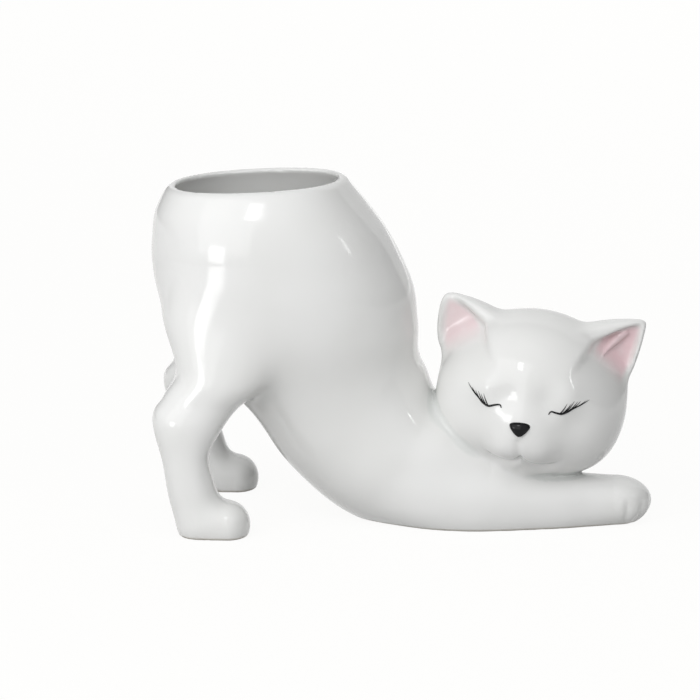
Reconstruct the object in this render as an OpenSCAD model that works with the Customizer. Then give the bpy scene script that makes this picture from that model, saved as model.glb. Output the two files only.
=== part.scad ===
// Planter in the shape of a stretching cat: a hollow ceramic casting, rump up, with the planting
// mouth on top of the rump, forelegs laid flat and the head turned to the right-hand side.
// +X runs to the forepaws, -Y is the side that the face looks to, the feet stand on Z = 0.

/* [Mouth] */
// Length of the planting mouth, inside the lip
mouth_l = 43; // [38:0.5:47]
// Width of the planting mouth, inside the lip
mouth_w = 36; // [30:0.5:40]
// Thickness of the rounded lip round the mouth
lip = 4; // [2.6:0.1:4.6]
// Height of the lip above the table, at its front
rim_h = 99.5; // [94:0.5:106]
// Slope of the lip, down towards the rump
rim_tilt = 2.8; // [0:0.5:6]

/* [Trunk] */
// Thickness of the cast wall
wall = 4; // [3:0.1:5]
// Length of the rump, front to back
rump_l = 74; // [70:0.5:78]
// Width of the rump, side to side
rump_w = 59; // [54:0.5:64]
// Depth of the belly over the arch, from belly to back
belly_d = 54; // [50:0.5:58]
// Width of the belly
belly_w = 50; // [45:0.5:54]
// Depth of the chest, from breast to shoulders
chest_d = 43.5; // [40:0.5:47]
// Width of the chest
chest_w = 50; // [45:0.5:54]
// Depth of the neck under the head
neck_d = 34; // [30:0.5:37]
// Width of the neck
neck_w = 44; // [39:0.5:47]

/* [Hind legs] */
// Width over both hind feet
stance_w = 75; // [70:0.5:80]
// Height of the hock above the table
hock_h = 32; // [30:0.5:36]
// Thickness of the thigh, front to back
thigh_d = 34; // [30:0.5:38]
// Width of one thigh
thigh_w = 24; // [21:0.5:27]
// Thickness of the leg at the hock, front to back
hock_d = 20; // [17:0.5:22]
// Width of the leg at the hock
hock_w = 17.5; // [15:0.5:19]
// Thickness of the shank over the foot
shank_d = 13; // [11:0.5:15]
// Width of a hind foot
hind_foot_w = 16.5; // [14:0.5:18]
// Height of a hind foot over the toes
hind_foot_h = 9.5; // [8:0.5:11.5]
// Reach of a hind foot, heel to toe
hind_foot_l = 21.5; // [19:0.5:24]

/* [Forelegs] */
// Distance between the centre lines of the forepaws
paw_gap = 22; // [20:0.5:25]
// Width of a foreleg
foreleg_w = 18; // [16:0.5:20]
// Height of a foreleg as it lies on the table
foreleg_h = 15; // [13:0.5:16.5]
// Width of a forepaw
paw_w = 18.5; // [16:0.5:21]
// Height of a forepaw
paw_h = 13.5; // [12:0.5:15]
// How far the leading forepaw reaches past the middle of the chest
lead_reach = 64; // [58:0.5:68]
// How far the other forepaw stays behind it
trail_by = 22; // [16:0.5:26]
// Depth of the grooves between the toes
toe_groove = 0.7; // [0.3:0.1:1]

/* [Head] */
// Width of the skull, cheek to cheek
head_w = 54.5; // [50:0.5:58]
// Height of the skull, crown to chin
head_h = 47; // [43:0.5:50]
// Depth of the skull, face to nape
head_d = 48; // [44:0.5:52]
// Roll of the head towards the forepaws
head_roll = 8.5; // [0:0.5:14]
// Turn of the face back towards the rump
head_turn = 6.5; // [0:0.5:10]
// Height of the middle of the head above the table
head_lift = 38; // [36:0.5:41]
// Thickness of the cast wall of the head
head_wall = 4; // [3:0.1:5]
// How far the muzzle stands out of the face
muzzle = 4.5; // [2:0.25:6]
// How far each cheek is padded out
cheek = 3.5; // [2:0.25:4.5]
// Depth of the hollow round each eye
socket = 1.6; // [0.5:0.1:2.4]
// Depth of the crease of the mouth
smile = 0.9; // [0.4:0.1:1.2]

/* [Ears] */
// Width of an ear at its root
ear_w = 24.5; // [21:0.5:27]
// Height of an ear above its root
ear_h = 13.5; // [12:0.5:16]
// Thickness of an ear at its root, front to back
ear_d = 10; // [8.5:0.25:11.5]
// Thickness of the ear's edge round its hollow
ear_edge = 2.2; // [1.6:0.1:2.8]
// Thickness of the coloured lining in the ear
lining = 0.8; // [0.6:0.05:1]

/* [Face] */
// Width of the nose
nose_w = 6.6; // [5.4:0.1:7.8]
// Height of the nose
nose_h = 4.6; // [3.8:0.1:5.5]
// How far the nose stands out of the muzzle
nose_out = 1.1; // [0.7:0.05:1.5]
// Distance between the middles of the eyes
eye_gap = 24; // [21:0.5:27]
// Length of the line of closed lashes
lash_l = 10; // [8:0.5:12]
// Width of that line
lash_w = 0.9; // [0.7:0.05:1.2]
// Thickness of the enamel that draws it
enamel = 0.5; // [0.4:0.05:0.8]

/* [Hidden] */

white_glaze = "#F1F1EE";
pink_glaze = "#E3BDC2";
black_enamel = "#141416";

// ---- curves and skins ------------------------------------------------------------------

// A point of the smooth curve through a list of stations, at t from 0 to the last station.
function station(list, t) =
    let (n = len(list) - 1, i = min(floor(t), n - 1), u = t - i, p1 = list[i], p2 = list[i + 1],
         p0 = i > 0 ? list[i - 1] : 2 * p1 - p2,
         p3 = i < n - 1 ? list[i + 2] : 2 * p2 - p1)
    p1 + u * ((p2 - p0) + u * ((2 * p0 - 5 * p1 + 4 * p2 - p3)
        + u * (3 * p1 - 3 * p2 + p3 - p0))) / 2;

// Sections are a little squarer than an ellipse: 2 is an ellipse.
fullness = 2.25;
// A station is [x, y, z, depth, width, lean]: an ellipse whose depth leans up from +X by lean.
function across(s) = [cos(s[5]), 0, sin(s[5])];
function onward(s) = [sin(s[5]), 0, -cos(s[5])];
function full(c) = sign(c) * pow(abs(c), 2 / fullness);
function oval(s, sides, grow = 0, forth = 0, shrink = 1, groove = 0) = [
    for (i = [0:sides - 1])
        let (a = 360 * i / sides, k = shrink * (1 - groove * toe_line(a)))
        [s.x, s.y, s.z] + forth * onward(s)
            + k * (s[3] / 2 + grow) * full(cos(a)) * across(s)
            + k * (s[4] / 2 + grow) * full(sin(a)) * [0, 1, 0]];

// Three grooves part the toes on the upper side of a paw.
toe_spread = 34;
toe_half = 8;
function toe_line(a) =
    let (up = a > 180 ? a - 360 : a)
    max([for (k = [-1:1]) exp(-pow((up - k * toe_spread) / toe_half, 2))]);

// Closed skin over rings of equally many points, each end closed by a fan to its middle.
function middle(ring) = [for (p = ring) 1] * ring / len(ring);
module skin(rings) {
    sides = len(rings[0]);
    last = len(rings) - 1;
    points = [for (ring = rings) each ring, middle(rings[0]), middle(rings[last])];
    first_mid = sides * (last + 1);
    wall_faces = [
        for (j = [0:last - 1], i = [0:sides - 1])
            let (a = j * sides + i, b = j * sides + (i + 1) % sides)
            each [[a, b + sides, a + sides], [a, b, b + sides]]];
    first_cap = [for (i = [0:sides - 1]) [(i + 1) % sides, i, first_mid]];
    last_cap = [for (i = [0:sides - 1])
        [last * sides + i, last * sides + (i + 1) % sides, first_mid + 1]];
    polyhedron(points, concat(first_cap, wall_faces, last_cap), convexity = 6);
}

// Rings of a round end past a station: the section shrinks along a quarter circle.
function round_end(s, reach, sides, steps, groove = 0) = [
    for (k = [1:steps])
        let (a = 88 * k / steps)
        oval(s, sides, 0, reach * sin(a), cos(a), groove)];

// Depth of the round undersides that is ground away, which leaves broad soles.
sunk = 4;

// What is ground off flat where the casting stands on the table.
module under_table() translate([-100, -60, -10]) cube([200, 120, 10]);

// ---- the trunk ---------------------------------------------------------------------------

trunk_sides = 36;
lip_outer_l = mouth_l + 2 * lip;
lip_outer_w = mouth_w + 2 * lip;
rim_drop = lip_outer_l / 2 * sin(rim_tilt) + lip / 2;
mouth_at = [-42.6, 0, rim_h - rim_drop];
rump_at = [-35.2, 0, 70];
chest_at = [-3, 0, 18.2];
neck_at = [25, 0, 12];

// Steepness at which the shoulder meets the round of the lip, as an angle on that round.
lip_lean = 40;
lip_rise = lip / 2 * sin(lip_lean);
lip_trim = lip * (1 - cos(lip_lean));
mouth_ring = [mouth_at.x, 0, mouth_at.z, lip_outer_l, lip_outer_w, rim_tilt];

trunk_line = [
    mouth_ring + [0, 0, lip_rise, -lip_trim, -lip_trim, 0],
    [-42.1, 0, 95.2, (rump_l + lip_outer_l) / 2 - 6.6, (rump_w + lip_outer_w) / 2 - 2.4, 2.4],
    [-39.8, 0, 87.5, rump_l - 9, rump_w - 5, 1.5],
    [rump_at.x, 0, rump_at.z, rump_l, rump_w, 0],
    [-30, 0, 53.5, rump_l - 5, rump_w - 2, 5],
    [-20.4, 0, 39.8, belly_d - 1.5, belly_w, 18],
    [-13.2, 0, 28.7, belly_d - 5.5, (belly_w + chest_w) / 2 - 2, 34],
    [chest_at.x, 0, chest_at.z, chest_d, chest_w, 55],
    [10, 0, 14.3, (chest_d + neck_d) / 2 + 1, chest_w, 76],
    [neck_at.x, 0, neck_at.z, neck_d, neck_w, 86]];
neck = len(trunk_line) - 1;
neck_cap = 16;
shell_steps = 24;
// The cavity ends one station short of the neck.
cavity_end = neck - 1;
cavity_cap = 9;
cavity_steps = 16;

function trunk_rings() = concat(
    [for (j = [0:shell_steps]) oval(station(trunk_line, neck * j / shell_steps), trunk_sides)],
    round_end(trunk_line[neck], neck_cap, trunk_sides, 4));

// The lip runs round from the shoulder, over its top and down to the inner wall.
lip_steps = 5;
function lip_rings() = [
    for (k = [1:lip_steps])
        let (a = lip_lean + (180 - lip_lean) * k / lip_steps)
        oval(mouth_ring, trunk_sides, -lip / 2 * (1 - cos(a)), -lip / 2 * sin(a))];

// The cavity keeps the wall's thickness off the outer skin, and off the ground soles below it.
cavity_end_at = trunk_line[cavity_end] - [0, 0, 0, 2 * wall, 2 * wall, 0];
function on_floor(ring) = [for (p = ring) [p.x, p.y, max(p.z, wall)]];
function cavity_rings() = [
    for (j = [1:cavity_steps])
        on_floor(oval(station(trunk_line, cavity_end * j / cavity_steps), trunk_sides, -wall)),
    for (ring = round_end(cavity_end_at, cavity_cap, trunk_sides, 3)) on_floor(ring)];

module trunk_solid() skin(trunk_rings());

// Passage through which the slip drained from the head while it was cast.
vent_r = 6;
vent_from = [10, -1, 15];
vent_to = [31, -5, 36];
module vent() {
    run = vent_to - vent_from;
    translate(vent_from)
        rotate([0, acos(run.z / norm(run)), atan2(run.y, run.x)])
            cylinder(r = vent_r, h = norm(run), $fn = 32);
}

module pot_shell() {
    outer = trunk_rings();
    neck_to_rim = [for (j = [len(outer) - 1:-1:0]) outer[j]];
    rings = concat(neck_to_rim, lip_rings(), cavity_rings());
    skin([for (j = [len(rings) - 1:-1:0]) rings[j]]);
}

module pot_body() color(white_glaze) difference() {
    pot_shell();
    under_table();
    vent();
}

// ---- the hind legs -------------------------------------------------------------------------

leg_sides = 22;
// The hips and hocks keep their places from the back of the rump.
rump_back_x = rump_at.x - rump_l / 2;
hock_x = rump_back_x + 10.4;
hip_x = rump_back_x + 21;
foot_y = (stance_w - hind_foot_w) / 2;
hip_in = 13;
hip_y = foot_y - hip_in;
ankle_h = 13;
toe_reach = hind_foot_w / 2 - 2;
foot_toe_x = hock_x - 3.5 + hind_foot_l - toe_reach;

function hind_line(side) = [
    [hip_x + 2.5, side * (hip_y - 2), rump_at.z + 8, thigh_d - 8, thigh_w - 6, 0],
    [hip_x, side * hip_y, rump_at.z - 8, thigh_d, thigh_w, -2],
    [hock_x + 10, side * (hip_y + 6), hock_h + 14, thigh_d - 7.5, thigh_w - 2, -6],
    [hock_x + 3.8, side * (foot_y - 4.5), hock_h + 6, hock_d + 1.5, hock_w + 1, -10],
    [hock_x, side * (foot_y - 2.5), hock_h, hock_d, hock_w, -12],
    [hock_x - 0.3, side * (foot_y - 0.5), (hock_h + ankle_h) / 2, shank_d + 0.5, shank_d + 1, 4],
    [hock_x + 0.8, side * foot_y, ankle_h, shank_d, shank_d + 1, 14],
    [hock_x + 3.5, side * foot_y, (hind_foot_h - sunk) / 2 + 1.5, hind_foot_h + sunk + 2,
        hind_foot_w - 1.5, 58],
    [foot_toe_x, side * foot_y, (hind_foot_h - sunk) / 2, hind_foot_h + sunk, hind_foot_w, 90]];
hind_steps = 21;

// A limb's skin: the toe grooves deepen from nothing over the last stretch of its line.
module limb(line, steps, reach, cap_steps, paw_half) {
    last = len(line) - 1;
    rings = [for (j = [0:steps])
        let (t = last * j / steps)
        oval(station(line, t), leg_sides, 0, 0, 1, toe_groove / paw_half * max(0, t - last + 1))];
    skin(concat(rings, round_end(line[last], reach, leg_sides, cap_steps, toe_groove / paw_half)));
}
module hind_limb(side) limb(hind_line(side), hind_steps, toe_reach, 4, hind_foot_w / 2);

module hind_leg(side) color(white_glaze) difference() {
    hind_limb(side);
    trunk_solid();
    under_table();
}

// ---- the forelegs --------------------------------------------------------------------------

paw_reach = paw_w / 2;
function fore_line(side, tip_x) = [
    [chest_at.x - 5, side * (paw_gap / 2 - 2), chest_at.z - 2, chest_d - 26, foreleg_w - 4, 50],
    [chest_at.x + 5, side * (paw_gap / 2 + 3), chest_at.z - 7.5, chest_d - 23, foreleg_w + 3, 64],
    [chest_at.x + 23, side * (paw_gap / 2 + 4), (foreleg_h - sunk) / 2 + 1, foreleg_h + sunk + 4,
        foreleg_w + 6, 82],
    [(chest_at.x + tip_x) / 2 + 8, side * (paw_gap / 2 + 1.8), (foreleg_h - sunk) / 2,
        foreleg_h + sunk, foreleg_w + 4.5, 89],
    [tip_x - paw_reach - 7, side * (paw_gap / 2 + 0.8), (paw_h + 0.5 - sunk) / 2,
        paw_h + 0.5 + sunk, paw_w + 0.8, 91],
    [tip_x - paw_reach, side * paw_gap / 2, (paw_h - sunk) / 2, paw_h + sunk - 0.5, paw_w, 92]];
fore_steps = 19;

chest_mid_x = chest_at.x + 11.3;
lead_tip_x = chest_mid_x + lead_reach;
trail_tip_x = lead_tip_x - trail_by;
module lead_limb() limb(fore_line(-1, lead_tip_x), fore_steps, paw_reach, 5, paw_w / 2);
module trail_limb() limb(fore_line(1, trail_tip_x), fore_steps, paw_reach, 5, paw_w / 2);

module foreleg_right() color(white_glaze) difference() {
    lead_limb();
    trunk_solid();
    under_table();
}

module foreleg_left() color(white_glaze) difference() {
    trail_limb();
    trunk_solid();
    under_table();
}

// ---- the head ------------------------------------------------------------------------------

head_at = [37.8, -6, head_lift];
face_sides = 40;
face_rings = 24;
cast_sides = 20;
cast_rings = 11;

// Places on the face, measured from its middle: u to the right, v up. Reach is a swelling's radius.
nose_v = -5.6;
muzzle_v = -11;
muzzle_reach = 10;
cheek_u = 19;
cheek_v = -14;
cheek_reach = 13;
eye_v = -1;
socket_reach = 6;
chin_v = -20;
chin_reach = 5;
mouth_v = -12;
mouth_half = 9;
mouth_dip = 2.2;
mouth_rise = 3;
crease_half = 1.1;

// The skull is an ellipsoid, on which swellings and hollows lie.
function skull_r(d) = 1 / norm([2 * d.x / head_w, 2 * d.y / head_d, 2 * d.z / head_h]);
function on_skull(u, v) =
    [u, -head_d / 2 * sqrt(max(0.05, 1 - pow(2 * u / head_w, 2) - pow(2 * v / head_h, 2))), v];
function swell(p, u, v, reach, out) = out * exp(-pow(norm(p - on_skull(u, v)) / reach, 2));

// The line of the mouth dips on each side of its middle and rises to the corners.
function smile_v(u) =
    let (w = abs(u) / mouth_half) mouth_v - mouth_dip * sin(180 * w) + mouth_rise * w * w;
function crease(p) =
    p.y > 0 || abs(p.x) > mouth_half ? 0 : smile * exp(-pow((p.z - smile_v(p.x)) / crease_half, 2));
function face_r(d) =
    let (r = skull_r(d), p = r * d)
    r + swell(p, 0, muzzle_v, muzzle_reach, muzzle) + swell(p, 0, chin_v, chin_reach, muzzle / 3)
      + swell(p, -cheek_u, cheek_v, cheek_reach, cheek) + swell(p, cheek_u, cheek_v, cheek_reach, cheek)
      - swell(p, -eye_gap / 2, eye_v, socket_reach, socket)
      - swell(p, eye_gap / 2, eye_v, socket_reach, socket) - crease(p);

// Rings run round the axis of the face, closest together over the muzzle.
function face_dir(k, i, rings, sides) =
    let (f = k / rings, a = 180 * (0.55 * f + 0.45 * f * f * (3 - 2 * f)), b = 360 * i / sides)
    [sin(a) * cos(b), -cos(a), sin(a) * sin(b)];
function head_ring(k, rings, sides, inset) = [
    for (i = [0:sides - 1])
        let (d = face_dir(k, i, rings, sides))
        (inset > 0 ? skull_r(d) - inset : face_r(d)) * d];

module head_form() skin([for (k = [0.3, each [1:face_rings - 1], face_rings - 0.4])
    head_ring(k, face_rings, face_sides, 0)]);
module head_hollow() skin([for (k = [0.5:cast_rings])
    head_ring(k, cast_rings, cast_sides, head_wall)]);

module at_head() translate(head_at) rotate([0, head_roll, -head_turn]) children();

module head() color(white_glaze) difference() {
    at_head() head_form();
    at_head() head_hollow();
    vent();
    trunk_solid();
    lead_limb();
    trail_limb();
}

// ---- the ears ------------------------------------------------------------------------------

ear_root_u = head_w * 0.37;
ear_root_v = head_h * 0.29;
ear_splay = 38;
ear_turn = 14;
ear_back = -4;
ear_sink = 6;
ear_narrowing = 0.52;
ear_sides = 16;
ear_steps = 9;
// The scoop sits this far forward and this far up, as shares of the ear's thickness and height.
scoop_forth = 0.46;
scoop_top = 0.9;

// Half width of an ear at a share f of its height: straight sides and a round tip.
function ear_taper(f) = (1 - ear_narrowing * f) * sqrt(max(0.01, 1 - pow(f, 3)));
function ear_ring(f, inset, forward) = [
    for (i = [0:ear_sides - 1])
        let (a = 360 * i / ear_sides, k = ear_taper(f))
        [(ear_w / 2 * k - inset) * cos(a), -forward * k + max(0.4, ear_d / 2 * k - inset / 2) * sin(a),
            (ear_h + ear_sink) * f - ear_sink]];
module ear_skin(inset, forward, top) {
    rings = [for (j = [ear_steps:-1:0]) ear_ring(top * j / ear_steps, inset, forward)];
    skin(rings);
}
module ear_form() ear_skin(0, 0, 0.995);
module ear_scoop(inset) ear_skin(ear_edge + inset, ear_d * scoop_forth, scoop_top - inset / ear_h);

// side is 1 for the cat's left ear and -1 for its right ear, as the face looks out.
module at_ear(side) at_head()
    translate([side * ear_root_u, 1, ear_root_v])
        rotate([ear_back, side * ear_splay, 0])
            rotate([0, 0, side * ear_turn])
                children();

module ear(side) color(white_glaze) difference() {
    at_ear(side) ear_form();
    at_ear(side) ear_scoop(0);
    at_head() head_form();
}

module ear_lining(side) color(pink_glaze) difference() {
    intersection() {
        at_ear(side) ear_form();
        at_ear(side) ear_scoop(0);
    }
    at_ear(side) ear_scoop(lining);
    at_head() head_form();
}

// ---- nose and lashes -----------------------------------------------------------------------

function on_face(u, v) = let (d = on_skull(u, v) / norm(on_skull(u, v))) face_r(d) * d;
function outward(u, v) = on_skull(u, v) / norm(on_skull(u, v));

nose_sides = 18;
nose_steps = 5;
nose_root = 1.5;
nose_flare = 0.28;
nose_brow = 0.18;
// Rounded triangle, broad above, that closes to a dome in front.
function nose_ring(a) = [
    for (i = [0:nose_sides - 1])
        let (b = 360 * i / nose_sides, k = cos(a))
        on_face(0, nose_v) + [nose_w / 2 * k * cos(b) * (1 + nose_flare * sin(b)),
            nose_root * (1 - sin(a)) - nose_out * sin(a),
            nose_h / 2 * k * (sin(b) + nose_brow * pow(cos(b), 2))]];
module nose() color(black_enamel) difference() {
    at_head() skin([for (j = [nose_steps:-1:0]) nose_ring(85 * j / nose_steps)]);
    at_head() head_form();
}

lash_sides = 6;
lash_steps = 10;
lash_curve = 0.062;
lash_low_v = -1.1;
lash_low_u = eye_gap / 2 - 3;
// The line sags towards the nose and sweeps up to its outer end.
function lash_v(u) = lash_low_v + lash_curve * pow(u - lash_low_u, 2);
function lash_ring(side, f) =
    let (u = eye_gap / 2 + lash_l * (f - 0.5), taper = sqrt(max(0.04, 1 - pow(2 * f - 1, 4))),
         n = outward(side * u, lash_v(u)))
    [for (i = [0:lash_sides - 1])
        let (a = 360 * i / lash_sides)
        on_face(side * u, lash_v(u)) + enamel * taper * sin(a) * n
            + [0, 0, lash_w / 2 * taper * cos(a)]];
module lash(side) color(black_enamel) difference() {
    at_head() skin([for (j = [0:lash_steps])
        lash_ring(side, side > 0 ? 1 - j / lash_steps : j / lash_steps)]);
    at_head() head_form();
}

pot_body();
hind_leg(-1);  // hind_leg_right
hind_leg(1);  // hind_leg_left
foreleg_right();
foreleg_left();
head();
ear(-1);  // ear_right
ear(1);  // ear_left
ear_lining(-1);  // ear_lining_right
ear_lining(1);  // ear_lining_left
nose();
lash(-1);  // lash_right
lash(1);  // lash_left
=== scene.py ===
# Porcelain cat planter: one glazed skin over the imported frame, with its painted ears, nose and lashes.
# Lengths in the settings are millimetres unless a note says otherwise.
import math
from concurrent.futures import ThreadPoolExecutor

import bmesh
import bpy
import numpy as np
import openvdb
from mathutils import Matrix, Vector


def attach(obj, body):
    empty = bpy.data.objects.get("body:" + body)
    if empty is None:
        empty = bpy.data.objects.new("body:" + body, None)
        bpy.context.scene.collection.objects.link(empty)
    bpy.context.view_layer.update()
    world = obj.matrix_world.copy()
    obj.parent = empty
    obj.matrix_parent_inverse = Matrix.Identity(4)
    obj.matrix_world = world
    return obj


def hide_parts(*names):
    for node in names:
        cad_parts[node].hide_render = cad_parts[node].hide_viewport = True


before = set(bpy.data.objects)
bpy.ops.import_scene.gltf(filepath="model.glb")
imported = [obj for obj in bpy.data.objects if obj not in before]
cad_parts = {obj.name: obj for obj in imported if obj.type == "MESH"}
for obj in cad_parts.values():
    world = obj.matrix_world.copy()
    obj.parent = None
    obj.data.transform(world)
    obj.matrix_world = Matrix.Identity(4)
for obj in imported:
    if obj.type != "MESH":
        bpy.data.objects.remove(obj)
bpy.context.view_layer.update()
mm = 0.001
print("frame loaded")


# Camera, first, at the photograph's angle
view = {
    "target": (0.0, 0.0, 0.049),    # metres
    "distance": 1.4,                # metres
    "azimuth": 0.64,                # degrees round from straight in front
    "elevation": 11.91,
    "lens": 247.1, "sensor": 36.0,
    "shiftX": -0.0759,
    "shiftY": -0.0036,
}


def addObject(name, data):
    made = bpy.data.objects.new(name, data)
    bpy.context.collection.objects.link(made)
    return made


def placeCamera():
    a, e = math.radians(view["azimuth"]), math.radians(view["elevation"])
    out = Vector((math.sin(a) * math.cos(e), -math.cos(a) * math.cos(e), math.sin(e)))
    camera = addObject("camera", bpy.data.cameras.new("camera"))
    camera.location = Vector(view["target"]) + out * view["distance"]
    camera.rotation_euler = (-out).to_track_quat("-Z", "Y").to_euler()
    camera.data.lens = view["lens"]
    camera.data.sensor_width = view["sensor"]
    camera.data.shift_x = view["shiftX"]
    camera.data.shift_y = view["shiftY"]
    bpy.context.scene.camera = camera


placeCamera()
print("camera placed")


# The clay form, as one distance field that is negative inside the clay
clay = {
    "fullness": 2.25,               # 2 makes elliptic sections, more makes them squarer
    "soleRound": 0.7,
    "farAway": 20.0,                # the distance given to places outside a form's own box
    "batch": 12000, "threads": 4,
    # the search for a place along a limb: grid, tries for each station, rounds, longest step, scale ahead
    "grid": 1.0, "tries": 8, "rounds": 5, "stride": 0.3, "aheadScale": 6.0,
}
# A limb's line gives x, y, z, depth, width, and the degrees from +X up to the way its depth runs.
trunk = {
    "wall": 4.0, "lip": 2.9,
    "lipRise": (86.0, 96.5),        # the wall thins to the lip between these heights
    "rimX": -42.6, "rimZ": 98.3, "rimTilt": 2.8, "rimRound": 1.35,
    "line": [
        (-42.6, 0, 101.5, 47.0, 39.2, 2.8),
        (-42.4, 0, 98.2, 51.6, 43.4, 2.8),
        (-42.0, 0, 94.4, 56.8, 47.8, 2.5),
        (-40.9, 0, 89.8, 62.4, 52.0, 1.9),
        (-38.9, 0, 83.8, 67.6, 55.4, 1.2),
        (-36.9, 0, 76.5, 72.0, 57.7, 0.5),
        (-34.0, 0, 66.5, 74.2, 59.1, 0.8),
        (-30.0, 0, 53.5, 69.0, 57.0, 5),
        (-20.4, 0, 39.8, 52.5, 50.0, 18),
        (-13.2, 0, 28.7, 48.5, 48.0, 34),
        (-3.0, 0, 18.2, 43.5, 50.0, 55),
        (10.0, 0, 14.3, 39.8, 50.0, 76),
        (25.0, 0, 12.0, 34.0, 44.0, 86)],
    "startReach": 1e4, "endReach": 16.0,    # it starts above the rim, which cuts it off
    "box": ((-95, -60, -12), (50, 60, 112)),
}
hindLeg = {
    "blend": 11.0,
    "line": [
        (-48.7, 14.25, 78.0, 26.0, 18.0, 0),
        (-51.2, 16.25, 62.0, 34.0, 24.0, -2),
        (-51.8, 22.25, 46.0, 26.5, 22.0, -6),
        (-58.0, 24.75, 38.0, 21.5, 18.5, -10),
        (-61.8, 26.75, 32.0, 20.0, 17.5, -12),
        (-62.1, 28.75, 22.5, 13.5, 14.0, 4),
        (-60.3, 29.25, 13.0, 13.8, 14.0, 12),
        (-57.7, 29.25, 4.5, 14.2, 14.2, 14)],
    "startReach": 8.0, "endReach": 7.5,
    "box": ((-88, -4, -8), (-18, 58, 100)),
    "ankle": 5.5,                   # how softly the foot joins the shank
    "foot": [
        (-58.4, 29.25, 3.2, 11.6, 13.4, 90),
        (-54.4, 29.25, 3.2, 13.4, 15.4, 90),
        (-50.0, 29.25, 3.1, 13.4, 16.5, 90)],
    "footStart": 4.5, "footEnd": 6.4,
    "footBox": ((-78, 10, -8), (-34, 48, 24)),
}
foreLeg = {
    "blend": 7.0, "between": 1.5,
    "near": [
        (-8.0, -9.0, 16.2, 17.5, 14.0, 50),
        (2.0, -14.0, 10.7, 20.5, 21.0, 64),
        (20.0, -15.0, 6.5, 23.0, 24.0, 82),
        (42.6, -12.8, 5.5, 18.8, 22.3, 89),
        (53.0, -11.8, 5.7, 16.7, 19.6, 91),
        (61.3, -11.0, 6.0, 14.7, 18.4, 92)],
    "far": [
        (-8.0, 9.0, 16.2, 17.5, 14.0, 50),
        (2.0, 14.0, 10.7, 20.5, 21.0, 64),
        (20.0, 15.0, 6.5, 23.0, 24.0, 82),
        (26.0, 13.6, 6.0, 20.4, 23.0, 87),
        (32.5, 12.0, 5.7, 16.8, 19.8, 91),
        (39.3, 11.0, 6.0, 14.8, 18.4, 92)],
    "startReach": 6.0, "endReach": 11.0,
    "nearBox": ((-30, -50, -12), (92, 10, 42)), "farBox": ((-30, -10, -12), (92, 50, 42)),
}


def unionRound(a, b, k):
    # inside either form, with the corner between them filled over k
    h = np.maximum(k - np.abs(a - b), 0) / k
    return np.minimum(a, b) - h * h * h * k / 6


def cutRound(a, b, r):
    # inside both forms, with an edge of radius r
    return np.minimum(np.maximum(a, b), -r) + np.hypot(np.maximum(a + r, 0), np.maximum(b + r, 0))


def curveOf(line):
    # cubic pieces through the stations, with the ends run on straight
    line = np.array(line, float)
    padded = np.vstack([2 * line[0] - line[1], line, 2 * line[-1] - line[-2]])
    p0, p1, p2, p3 = padded[:-3], padded[1:-2], padded[2:-1], padded[3:]
    return p1, (p2 - p0) / 2, (2 * p0 - 5 * p1 + 4 * p2 - p3) / 2, (3 * p1 - 3 * p2 + p3 - p0) / 2


def alongCurve(curve, t):
    # the values at t, counted in stations, and how fast they change
    i = np.clip(t.astype(int), 0, len(curve[0]) - 1)
    u = (t - i)[:, None]
    c0, c1, c2, c3 = (c[i] for c in curve)
    return c0 + u * (c1 + u * (c2 + u * c3)), c1 + u * (2 * c2 + u * 3 * c3)


def aheadOf(x, z, s, ds):
    # how far a point lies past a section's plane, and how fast that changes along the curve
    lean = np.radians(s[:, 5])
    sine, cosine = np.sin(lean), np.cos(lean)
    dx, dz = x - s[:, 0], z - s[:, 2]
    along = dx * cosine + dz * sine
    slope = -ds[:, 0] * sine + ds[:, 2] * cosine + along * np.radians(ds[:, 5])
    return along, dx * sine - dz * cosine, np.minimum(slope, -2.0)    # never flat, so steps stay short


def stepAlong(curve, x, z, t):
    # one step towards the section whose plane holds a point
    s, ds = alongCurve(curve, t)
    ahead, slope = aheadOf(x, z, s, ds)[1:]
    return np.clip(t - np.clip(ahead / slope, -clay["stride"], clay["stride"]), 0, len(curve[0]))


def makeLimb(line, startReach, endReach, box):
    # The place along a limb depends only on x and z, so it is worked out once on a plane.
    curve = curveOf(line)
    low, high = box
    step = clay["grid"]
    xs, zs = (np.arange(low[i], high[i] + step, step) for i in (0, 2))
    x, z = (g.ravel() for g in np.meshgrid(xs, zs, indexing="ij"))
    best, t = np.full(len(x), 1e9), np.zeros(len(x))
    last = len(line) - 1
    for k in np.linspace(0, last, last * clay["tries"] + 1):
        s, ds = alongCurve(curve, np.full(1, k))
        along, ahead = aheadOf(x, z, s, ds)[:2]
        m = (along / s[0, 3]) ** 2 + (ahead / clay["aheadScale"]) ** 2
        t = np.where(m < best, k, t)
        best = np.minimum(m, best)
    for i in range(clay["rounds"]):
        t = stepAlong(curve, x, z, t)
    return {"curve": curve, "start": startReach, "end": endReach, "box": box,
            "table": t.reshape(len(xs), len(zs))}


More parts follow.
